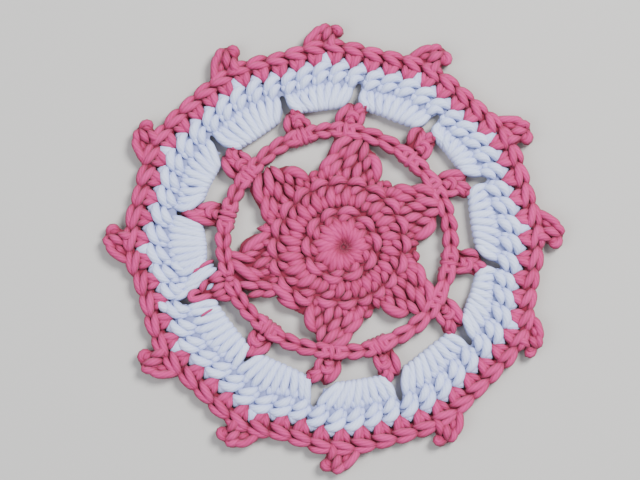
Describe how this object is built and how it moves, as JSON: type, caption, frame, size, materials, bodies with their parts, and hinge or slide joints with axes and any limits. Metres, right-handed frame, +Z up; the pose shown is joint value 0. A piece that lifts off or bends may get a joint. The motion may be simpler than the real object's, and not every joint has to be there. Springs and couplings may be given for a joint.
{
  "type": "crochet coaster",
  "caption": "Round crochet coaster with a coral star centre, an openwork chain ring, white shell stitches and a coral picot edging, to lie under a cup.",
  "frame": {"origin": "on the surface the coaster lies on, under the middle of its outline", "axes": "+Z up out of the right side of the fabric, +Y towards the far side as the picture shows it, +X to the right"},
  "size_m": [0.1354, 0.1326, 0.0044],
  "materials": {
    "coral_cotton": "matte",
    "white_cotton": "matte"
  },
  "bodies": {
    "root": {"star_and_chain_ring": "coral_cotton", "shell_band": "white_cotton", "picot_edging": "coral_cotton"}
  },
  "joints": []
}
